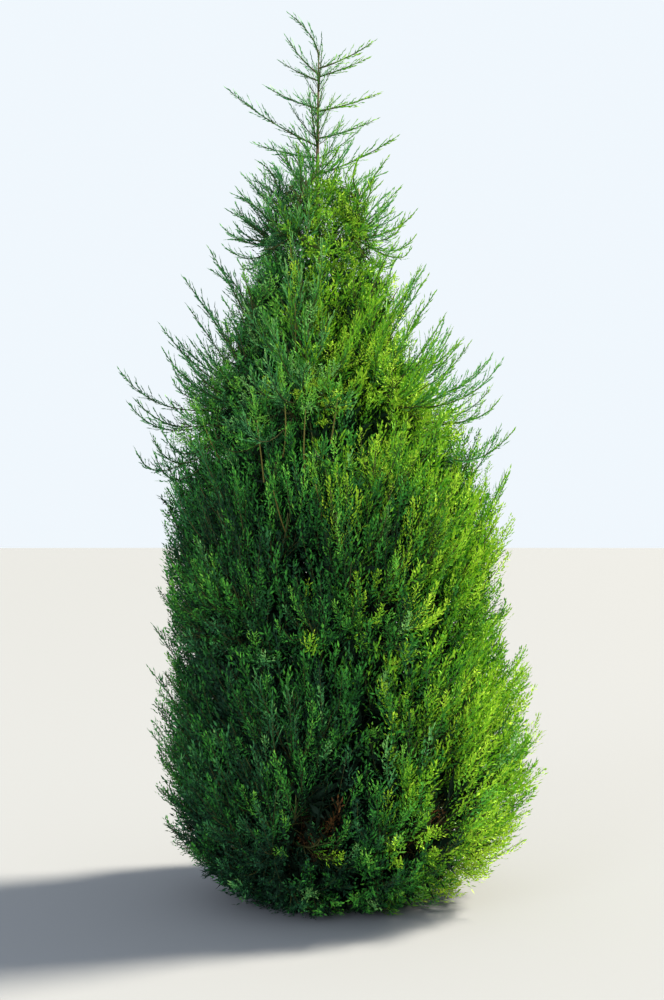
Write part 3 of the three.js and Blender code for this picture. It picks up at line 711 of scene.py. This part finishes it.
def grow(templates, growth, random):
    """Each curve of the growth gets a copy of one of the templates."""
    curves, turns, scales, families, shades = growth
    choice = random.integers(len(templates), size=len(curves))
    parts = []
    for number, (vertices, faces, zones, tufts) in enumerate(templates):
        chosen = np.flatnonzero(choice == number)
        if len(chosen) == 0:
            continue
        placed = bend_along(vertices, curves[chosen], turns[chosen], scales[chosen])
        starts = np.arange(len(chosen))[:, None, None] * len(vertices)
        numbers = material_numbers(families[chosen], shades[chosen], zones, tufts, random)
        parts.append((placed.reshape(-1, 3), (faces + starts).reshape(-1, 3), numbers.reshape(-1)))
    return joined(parts)


def make_piece(name, part, materials, nodes=()):
    vertices, faces, numbers = part
    mesh = bpy.data.meshes.new(name)
    mesh.vertices.add(len(vertices))
    mesh.vertices.foreach_set("co", (vertices * METRES).astype(np.float32).ravel())
    mesh.loops.add(faces.size)
    mesh.loops.foreach_set("vertex_index", faces.astype(np.int32).ravel())
    mesh.polygons.add(len(faces))
    mesh.polygons.foreach_set("loop_start", np.arange(0, faces.size, 3, dtype=np.int32))
    for material in materials:
        mesh.materials.append(material)
    mesh.polygons.foreach_set("material_index", numbers.astype(np.int32))
    mesh.polygons.foreach_set("use_smooth", np.ones(len(faces), bool))
    mesh.update(calc_edges=True)
    piece = bpy.data.objects.new(name, mesh)
    bpy.context.scene.collection.objects.link(piece)
    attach(piece, "root")
    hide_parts(*nodes)


def linear(code):
    """A colour from its six-figure code, in the linear values that shaders take."""
    values = [int(code[i:i + 2], 16) / 255 for i in (0, 2, 4)]
    return [v / 12.92 if v <= 0.04045 else ((v + 0.055) / 1.055) ** 2.4 for v in values] + [1]


def plain_material(name, code, roughness):
    material = bpy.data.materials.new(name)
    material.use_nodes = True
    shader = material.node_tree.nodes["Principled BSDF"]
    shader.inputs["Base Color"].default_value = linear(code)
    shader.inputs["Roughness"].default_value = roughness
    shader.inputs["Specular IOR Level"].default_value = SPECULAR
    return material


def bark_material():
    material = bpy.data.materials.new("bark")
    material.use_nodes = True
    nodes, links = material.node_tree.nodes, material.node_tree.links
    shader = nodes["Principled BSDF"]
    shader.inputs["Roughness"].default_value = BARK_ROUGHNESS
    place = nodes.new("ShaderNodeTexCoord")
    stretch = nodes.new("ShaderNodeMapping")
    stretch.inputs["Scale"].default_value = BARK_STRETCH
    strips = nodes.new("ShaderNodeTexNoise")
    strips.inputs["Scale"].default_value = 1
    strips.inputs["Detail"].default_value = BARK_DETAIL
    ramp = nodes.new("ShaderNodeValToRGB")
    stops = ramp.color_ramp.elements
    for position, code in BARK_COLOURS:
        stops.new(position).color = linear(code)
    stops.remove(stops[0])
    stops.remove(stops[-1])
    bump = nodes.new("ShaderNodeBump")
    bump.inputs["Strength"].default_value = BARK_BUMP_STRENGTH
    bump.inputs["Distance"].default_value = BARK_BUMP_METRES
    links.new(place.outputs["Object"], stretch.inputs["Vector"])
    links.new(stretch.outputs["Vector"], strips.inputs["Vector"])
    links.new(strips.outputs["Fac"], ramp.inputs["Fac"])
    links.new(ramp.outputs["Color"], shader.inputs["Base Color"])
    links.new(strips.outputs["Fac"], bump.inputs["Height"])
    links.new(bump.outputs["Normal"], shader.inputs["Normal"])
    return material


def leaf_materials():
    """One for each shade of each family, in the order that material_numbers counts them."""
    return [plain_material(f"leaf_{name}_{i + 1}", code, LEAF_ROUGHNESS)
            for name, family in zip(FAMILY_NAMES, FAMILIES) for i, code in enumerate(family)]


def bare_stem_places():
    """Azimuths and foot heights of the bare stems, all round the crown."""
    places = [(math.radians(azimuth + turn), height + rise)
              for turn, rise in STEM_GROUP_TURNS for azimuth, height in STEM_GROUP]
    return np.array(places).T


def stand_back(azimuth, height):
    """How far the plumes with their tips at a height stand back from the skin, so that the hollows and the
    bare stems show, and which of them are in a hollow's dead part."""
    middle = height - PLUME_MIDDLE
    back = np.zeros_like(height)
    in_dead = np.zeros(height.shape, bool)

    def aside(place):
        turn = azimuth - place
        return np.abs(np.arctan2(np.sin(turn), np.cos(turn))) * crown_radius(height, azimuth)

    for place, level, half_width, half_height in HOLLOWS:
        off = (aside(math.radians(place)) / half_width) ** 2 + ((middle - level) / half_height) ** 2
        back = np.maximum(back, HOLLOW_DEPTH * np.clip(HOLLOW_EDGE - off, 0, 1))
        in_dead |= off < DEAD_EDGE
    lowest, highest = CLEARING_HEIGHTS
    for place, foot in zip(*bare_stem_places()):
        is_level = (middle > foot + lowest) & (middle < foot + highest)
        is_near = (aside(place) < CLEARING_HALF_WIDTH) & is_level
        back = np.where(is_near, np.maximum(back, CLEARING_DEPTH), back)
    return back, in_dead


def green_families(sun, random):
    """Yellow-green where the sun falls, and deep green elsewhere: partly the foliage's own, partly painted
    sunlight.
    """
    return np.where(random.random(sun.shape) < mix(*YELLOW_GREEN_SHARES, sun), YELLOW_GREEN, DEEP_GREEN)


def shoot_families(sun, random):
    # blue-green on the shaded side: partly painted sky-lit shade
    is_blue = random.random(sun.shape) < mix(*SHOOT_BLUE_SHARES, sun)
    return np.where(is_blue, BLUE_GREEN, green_families(sun, random))


def plume_families(sun, height, in_dead, random):
    # blue-green on the shaded side: partly painted sky-lit shade
    is_blue = random.random(sun.shape) < (1 - sun) ** BLUE_FADE * np.interp(height, *BLUE_SHARES)
    is_dead = in_dead & (random.random(sun.shape) < DEAD_SHARE)
    return np.where(is_dead, DEAD, np.where(is_blue, BLUE_GREEN, green_families(sun, random)))


# A plume's shade: painted sunlight and shade by side, height, rear and depth, over its random tone
def plume_shades(sun, azimuth, height, shade, past):
    shades = mix(*PLUME_SHADES, sun ** PLUME_SHADES_POWER) + sun * np.interp(height, *SUNNY_PAINTED_LIGHT)
    shades += (1 - sun) * np.interp(height, *FOOT_PAINTED_SHADE)
    shades += mix(*TOP_PAINTED_LIGHT_SHARES, sun) * np.interp(height, *TOP_PAINTED_LIGHT)
    shades += sun * np.interp(np.sin(azimuth), *REAR_LESS_PAINTED_SUN)
    return shades + mix(1, SUNNY_VARIETY, sun) * shade + DEPTH_PAINTED_SHADE * past


def growth_at(cell, side, level, past, feet, shade, random, scales=PLUME_SCALES):
    """Plumes from feet to places on the skin: their curves, turns, scales, families and shades."""
    azimuth = cell["azimuth"] + side * cell["half_width"]
    height = cell_point(cell, side, level, 1, groove_share=0)[..., 2]
    back, in_dead = stand_back(azimuth, height)
    out = past - back
    tips = cell_point(cell, side, level, 1, out - np.interp(height, *HOLD_BACK), groove_share=0)
    curves = curves_to(feet, tips, plume_heading(cell, side, height, random))
    # painted sunlight: sprays on the sunlit side are lighter and yellower
    sun = painted_sun_share(azimuth, height)
    sun = np.clip(sun + SUN_VARIETY * sun * (1 - sun) * shade, 0, 1)
    families = plume_families(sun, height, in_dead, random)
    shades = plume_shades(sun, azimuth, height, shade, out)
    turns = random.uniform(-PLUME_TURN, PLUME_TURN, side.shape)
    return curves, turns, random.uniform(*scales, side.shape), families, shades


def twig_plumes(cell, twigs, rows, random):
    """The plumes that the main twigs carry, spread over a dome at each twig's end."""
    count = cell["tier"]["plumes"]
    order = np.arange(count)
    out = np.sqrt((order + 0.5) / count)
    angle = order * GOLDEN_ANGLE + random.uniform(0, 2 * np.pi, (len(rows), 1))
    side, level, past = (rows[:, i:i + 1] for i in range(3))
    radius = skin_radius(cell, side, level)
    span = level_height(cell["tier"], radius, 1) - level_height(cell["tier"], radius, 0)
    side = side + out * np.cos(angle) * CLUSTER_WIDTH / (cell["half_width"] * radius)
    side = side + random.normal(0, PLUME_SIDE_JITTER, side.shape)
    level = np.abs(level + out * np.sin(angle) * CLUSTER_HEIGHT / span)
    level = np.where(level > PLUME_LEVEL_MOST, 2 * PLUME_LEVEL_MOST - level, level)
    past = past - DOME_DEPTH * out ** 2 + random.uniform(*PLUME_PAST, side.shape)
    feet = curve_point(twigs[:, None], PLUME_FOOT + PLUME_FOOT_SPREAD * np.sin(angle) * out)
    shade = random.normal(0, TWIG_VARIETY, (len(rows), 1)) + random.normal(0, PLUME_VARIETY, side.shape)
    side, level, past, shade = (values.ravel() for values in (side, level, past, shade))
    return growth_at(cell, side, level, past, feet.reshape(-1, 3), shade, random)


def filler_plumes(cell, bough, stem, random):
    """Plumes from the bough and the stem, spread evenly a little behind the skin."""
    count = cell["tier"]["fillers"]
    order = np.arange(count)
    side = 2 * ((cell["phase"] + order * GOLDEN_RATIO) % 1) - 1
    level = mix(*FILLER_LEVELS, (order + 0.5) / count)
    past = FILLER_PAST + random.uniform(-FILLER_PAST_JITTER, FILLER_PAST_JITTER, count)
    shade = random.normal(*FILLER_SHADES, count)
    return growth_at(cell, side, level, past, limb_feet(bough, stem, level), shade, random, FILLER_SCALES)


def thinned(growth, random):
    """Leaves out more of the plumes the nearer their tips are to the open top."""
    heights = growth[0][:, 2, 2]
    keep = random.random(len(heights)) < np.interp(heights, *THINNING)
    return tuple(values[keep] for values in growth)


def shoot_growth(cell, curves, shoots, random):
    """The spray at the end of each shoot, and one below it on those that stand well past the skin."""
    is_clear = shoots[:, 2] > WELL_PAST
    curves = np.concatenate([curves, first_part(curves[is_clear], SHOOT_FIRST_PART)])
    side = np.concatenate([shoots[:, 0], shoots[is_clear, 0]])
    count = len(curves)
    sun = painted_sun_share(cell["azimuth"] + side * cell["half_width"], curves[:, 2, 2])
    turns = random.uniform(-SHOOT_TURN, SHOOT_TURN, count)
    scales = random.uniform(*SHOOT_SCALES, count)
    # lighter in sun: painted sunlight
    return curves, turns, scales, shoot_families(sun, random), mix(*SHOOT_SHADES, sun)


def more_shoots(shoots, count, random):
    """The long shoots, and some shorter ones beside each."""
    rows = [shoots]
    for _ in range(count):
        beside = shoots.copy()
        beside[:, 0] += random.uniform(*BESIDE_SIDES, len(shoots))
        beside[:, 1] += random.uniform(*BESIDE_LEVELS, len(shoots))
        beside[:, 2] *= random.uniform(*BESIDE_REACHES, len(shoots))
        rows.append(beside)
    return np.concatenate(rows)


def frond_part(cell, random):
    """Broad fronds inside a mass, in a near-black painted shade, which keep daylight from showing through
    it.
    """
    tier = cell["tier"]
    count = tier["fronds"]
    side = random.uniform(-1, 1, count)
    level = random.uniform(*FROND_LEVELS, count) * tier["frond_share"]
    feet = cell_point(cell, side, level, random.uniform(*tier["frond_depths"], count))
    shape = (count, FROND_BLADES)
    heading = unit(twig_heading(cell, side, level)[:, None] + random.normal(0, FROND_JITTER, (*shape, 3)))
    reach = FROND_REACH * skin_radius(cell, side, level)[:, None, None]
    tips = feet[:, None] + heading * reach * random.uniform(*FROND_REACH_VARIETY, (*shape, 1))
    feet = np.broadcast_to(feet[:, None], tips.shape).reshape(-1, 3)
    facing = random.normal(size=feet.shape)
    return one_material(*sprigs(feet, tips.reshape(-1, 3), FROND_BLADE_WIDTH, 0, facing))


def dress_mass(cell, parts):
    """One mass: its sprays are a piece of their own, and its limbs, twigs and fronds go to its tier's."""
    random = np.random.default_rng(cell["seed"])
    tier = cell["tier"]
    bough = bough_curve(cell)
    stem = stem_curve(bough, cell)
    rows, long_shoots = main_twigs(cell)
    shoots = more_shoots(long_shoots, tier["beside"], random)
    twigs = twig_curves(cell, stem, *rows.T)
    plumes = twig_plumes(cell, twigs, rows, random)
    fillers = filler_plumes(cell, bough, stem, random)
    if tier["name"] == "neck":
        plumes = thinned(plumes, random)
        fillers = thinned(fillers, random)
    shoot_curves = twig_curves(cell, stem, *shoots.T)
    shorter = shoot_curves[len(long_shoots):]
    shorter[:, 1] += random.normal(0, BESIDE_WANDER, (len(shorter), 3))
    sprays = joined([
        grow(PLUMES, plumes, random),
        grow(FILLERS, fillers, random),
        grow(SHOOTS, shoot_growth(cell, shoot_curves, shoots, random), random),
    ])
    name = cell["name"]
    make_piece(f"sprays_{name}", above_ground(sprays), LEAVES, [f"foliage_{name}"])
    middle_radius = tier["bough_radius"] * BOUGH_TIP_SHARE
    parts["limbs"] += [
        tubes(bough[None], tier["bough_radius"], middle_radius, *BOUGH_MESH),
        tubes(stem[None], middle_radius, STEM_TIP_RADIUS, *STEM_MESH),
    ]
    parts["twigs"] += [
        tubes(first_part(twigs, tier["wood_share"]), *TWIG_WOOD),
        tubes(plumes[0], *PLUME_WOOD),
        tubes(fillers[0], *PLUME_WOOD),
        tubes(shoot_curves, *SHOOT_WOOD),
    ]
    parts["fronds"].append(frond_part(cell, random))


def dress_tier(tier, tier_index):
    parts = {"limbs": [], "twigs": [], "fronds": []}
    cells = cells_of(tier, tier_index)
    for cell in cells:
        dress_mass(cell, parts)
    name = tier["name"]
    boughs = [f"bough_{cell['name']}" for cell in cells]
    make_piece(f"boughs_{name}", joined(parts["limbs"]), [BARK], boughs)
    make_piece(f"twigs_{name}", above_ground(joined(parts["twigs"])), [TWIG])
    # the fronds' material is painted shade
    inner = plain_material(f"leaf_painted_shade_{name}", tier["frond_painted_shade"], LEAF_ROUGHNESS)
    make_piece(f"painted_shade_fronds_{name}", above_ground(joined(parts["fronds"])), [inner])


def dress_bare_stems():
    azimuths, feet_heights = bare_stem_places()
    count = len(azimuths)
    random = np.random.default_rng(SEED)
    tip_heights = feet_heights + BARE_STEM_RISE * random.uniform(*BARE_STEM_RISE_VARIETY, count)
    tip_azimuths = azimuths + random.normal(0, BARE_STEM_LEAN, count)
    foot_depth, tip_depth = BARE_STEM_DEPTHS
    feet = from_trunk(crown_radius(feet_heights, azimuths) - foot_depth, azimuths, feet_heights)
    tips = from_trunk(crown_radius(tip_heights, azimuths) - tip_depth, tip_azimuths, tip_heights)
    curves = limb_curve(feet, tips)
    curves[:, 1] += random.normal(0, BARE_STEM_WANDER, feet.shape)
    make_piece("bare_stems", tubes(first_part(curves, BARE_STEM_SHARE), *BARE_STEM_WOOD), [STEM])
    # the bare stems' plumes are lighter in sun and at the top: painted light
    sun = painted_sun_share(azimuths, tip_heights)
    shades = mix(*STEM_PLUME_SHADES, sun) + np.interp(tip_heights, *TOP_PAINTED_LIGHT)
    turns = random.uniform(-BARE_STEM_PLUME_TURN, BARE_STEM_PLUME_TURN, count)
    growth = (curves, turns, np.full(count, BARE_STEM_PLUME), green_families(sun, random), shades)
    make_piece("stem_end_sprays", grow(PLUMES, growth, random), LEAVES)


def dress_trunk():
    """The trunk in close rings, with long strips of bark in relief."""
    height = TRUNK_TIP_HEIGHT * np.linspace(0, 1, TRUNK_RINGS + 1)[:, None] ** TRUNK_RING_GROWTH
    angle = np.arange(TRUNK_SIDES) * 2 * np.pi / TRUNK_SIDES
    flare = np.exp(-height / ROOT_FLARE_HEIGHT)
    lobes = 1 + ROOT_LOBE_SHARE * flare * np.cos(ROOT_LOBES * angle)
    random = np.random.default_rng(SEED)
    relief = 0
    for _ in range(BARK_WAVES):
        phase = random.uniform(0, 2 * np.pi)
        wander = BARK_WANDER * np.sin(height / random.uniform(*BARK_WANDER_HEIGHTS) + phase)
        drift = random.uniform(-BARK_DRIFT, BARK_DRIFT) * height
        strips = random.integers(BARK_LEAST_STRIPS, BARK_MOST_STRIPS + 1)
        relief = relief + np.sin(strips * angle + drift + phase + wander) / BARK_WAVES
    radius = trunk_radius(height) * lobes * (1 + BARK_RELIEF * relief)
    vertices = from_trunk(radius, angle, height).reshape(-1, 3)
    foot = cap_faces(TRUNK_SIDES, 0)[:, ::-1]
    tip = cap_faces(TRUNK_SIDES, TRUNK_RINGS * TRUNK_SIDES)
    faces = np.concatenate([wall_faces(TRUNK_SIDES, TRUNK_RINGS), foot, tip])
    make_piece("trunk_bark", one_material(vertices, faces), [BARK], ["trunk"])


def top_growth(curves, azimuths, scales, shades, random):
    turns = random.uniform(-SHOOT_TURN, SHOOT_TURN, len(curves))
    sun = painted_sun_share(azimuths, curves[:, 2, 2])
    # lighter in sun: painted sunlight
    return curves, turns, scales, shoot_families(sun, random), shades + mix(*TOP_SHADES, sun)


def leader_curves(feet, azimuths, reaches, tips):
    """The single shoots of the open top, and the tip shoot last."""
    curves = limb_curve(from_trunk(0, azimuths, feet), from_trunk(reaches, azimuths, tips))
    below, top = from_trunk(0, 0, np.array([TRUNK_TIP_HEIGHT - TIP_AIM, TRUNK_TIP_HEIGHT]))
    azimuth, reach, height = TIP_SHOOT
    tip = from_trunk(reach, math.radians(azimuth), height)
    tip_curve = np.stack([top + [0, 0, SEAT_GAP], top + unit(top - below) * TIP_BEND, tip])
    return np.concatenate([curves, tip_curve[None]])


def top_twigs(random):
    """Curves and azimuths of the small twigs up the trunk between the single shoots."""
    order = np.arange(TOP_TWIGS)
    foot = mix(*TOP_TWIG_HEIGHTS, ((order + 0.5) / TOP_TWIGS) ** TOP_TWIG_CROWDING)
    azimuth = order * GOLDEN_ANGLE
    rise = np.interp(foot, *TOP_TWIG_RISES) * random.uniform(*TOP_TWIG_RISE_VARIETY, TOP_TWIGS)
    reach = np.interp(foot, *TOP_TWIG_REACHES) * random.uniform(*TOP_TWIG_REACH_VARIETY, TOP_TWIGS)
    return limb_curve(from_trunk(0, azimuth, foot), from_trunk(reach, azimuth, foot + rise)), azimuth


def dress_top():
    """The open top: its single shoots, and small twigs up the trunk between them."""
    random = np.random.default_rng(SEED)
    feet, azimuths, reaches, tips = (np.array(column, float) for column in zip(*LEADER_SHOOTS))
    azimuths = np.radians(azimuths)
    curves = leader_curves(feet, azimuths, reaches, tips)
    azimuths = np.append(azimuths, math.radians(TIP_SHOOT[0]))
    leafed = np.concatenate([curves, first_part(curves, LEADER_FIRST_PART)])
    scales = np.clip(curve_length(leafed) / SPRAY_LENGTH, *LEADER_SCALES)
    shoots = top_growth(leafed, np.tile(azimuths, 2), scales, 0, random)

    small_curves, azimuths = top_twigs(random)
    scales = np.clip(curve_length(small_curves) / SPRAY_LENGTH, *TOP_TWIG_SCALES)
    shades = random.normal(0, TOP_TWIG_VARIETY, TOP_TWIGS)
    small = top_growth(small_curves, azimuths, scales, shades, random)

    nodes = [f"foliage_leader_{i + 1}" for i in range(len(LEADER_SHOOTS))] + ["foliage_tip"]
    sprays = joined([grow(SHOOTS, shoots, random), grow(SHOOTS, small, random)])
    make_piece("sprays_top", sprays, LEAVES, nodes)
    twigs = joined([tubes(curves, *LEADER_WOOD), tubes(small_curves, *TOP_TWIG_WOOD)])
    make_piece("twigs_top", twigs, [TWIG])


def set_stage():
    bpy.ops.mesh.primitive_circle_add(vertices=FLOOR_SIDES, radius=FLOOR_RADIUS, fill_type="NGON")
    floor = bpy.context.object
    floor.name = "floor"
    floor.data.materials.append(plain_material("floor", FLOOR_COLOUR, FLOOR_ROUGHNESS))
    world = bpy.data.worlds.new("sky")
    bpy.context.scene.world = world
    world.use_nodes = True
    background = world.node_tree.nodes["Background"]
    background.inputs["Color"].default_value = linear(SKY_COLOUR)
    background.inputs["Strength"].default_value = SKY_STRENGTH
    bpy.context.scene.view_settings.view_transform = "Standard"


def add_sun():
    data = bpy.data.lights.new("key", "SUN")
    data.angle = math.radians(KEY_ANGLE)
    data.energy = KEY_ENERGY
    data.color = linear(KEY_COLOUR)[:3]
    light = bpy.data.objects.new("key", data)
    light.rotation_euler = Vector(KEY_DIRECTION).to_track_quat("Z", "Y").to_euler()
    bpy.context.scene.collection.objects.link(light)


def add_fill():
    data = bpy.data.lights.new("front_fill", "AREA")
    data.shape = "DISK"
    data.size = FILL_SIZE
    data.energy = FILL_ENERGY
    data.color = linear(FILL_COLOUR)[:3]
    light = bpy.data.objects.new("front_fill", data)
    light.location = FILL_PLACE
    aim = Vector(CROWN_MIDDLE) - light.location
    light.rotation_euler = aim.to_track_quat("-Z", "Y").to_euler()
    bpy.context.scene.collection.objects.link(light)


def set_camera():
    data = bpy.data.cameras.new("camera")
    data.lens = CAMERA_LENS
    data.sensor_width = CAMERA_SENSOR
    camera = bpy.data.objects.new("camera", data)
    camera.location = CAMERA_PLACE
    camera.rotation_euler = (math.radians(CAMERA_TILT), 0, 0)
    bpy.context.scene.collection.objects.link(camera)
    bpy.context.scene.camera = camera


template_random = np.random.default_rng(SEED)
PLUMES = [spray(template_random, PLUME, width_share) for width_share in PLUME_WIDTHS]
FILLERS = [spray(template_random, FILLER) for _ in range(FILLER_TEMPLATES)]
SHOOTS = [spray(template_random, SHOOT) for _ in range(SHOOT_TEMPLATES)]
BARK = bark_material()
TWIG = plain_material("twig", TWIG_COLOUR, WOOD_ROUGHNESS)
STEM = plain_material("stem", STEM_COLOUR, WOOD_ROUGHNESS)
LEAVES = leaf_materials()

dress_trunk()
for tier_index, tier in enumerate(TIERS):
    dress_tier(tier, tier_index)
dress_bare_stems()
dress_top()
set_stage()
add_sun()
add_fill()
set_camera()
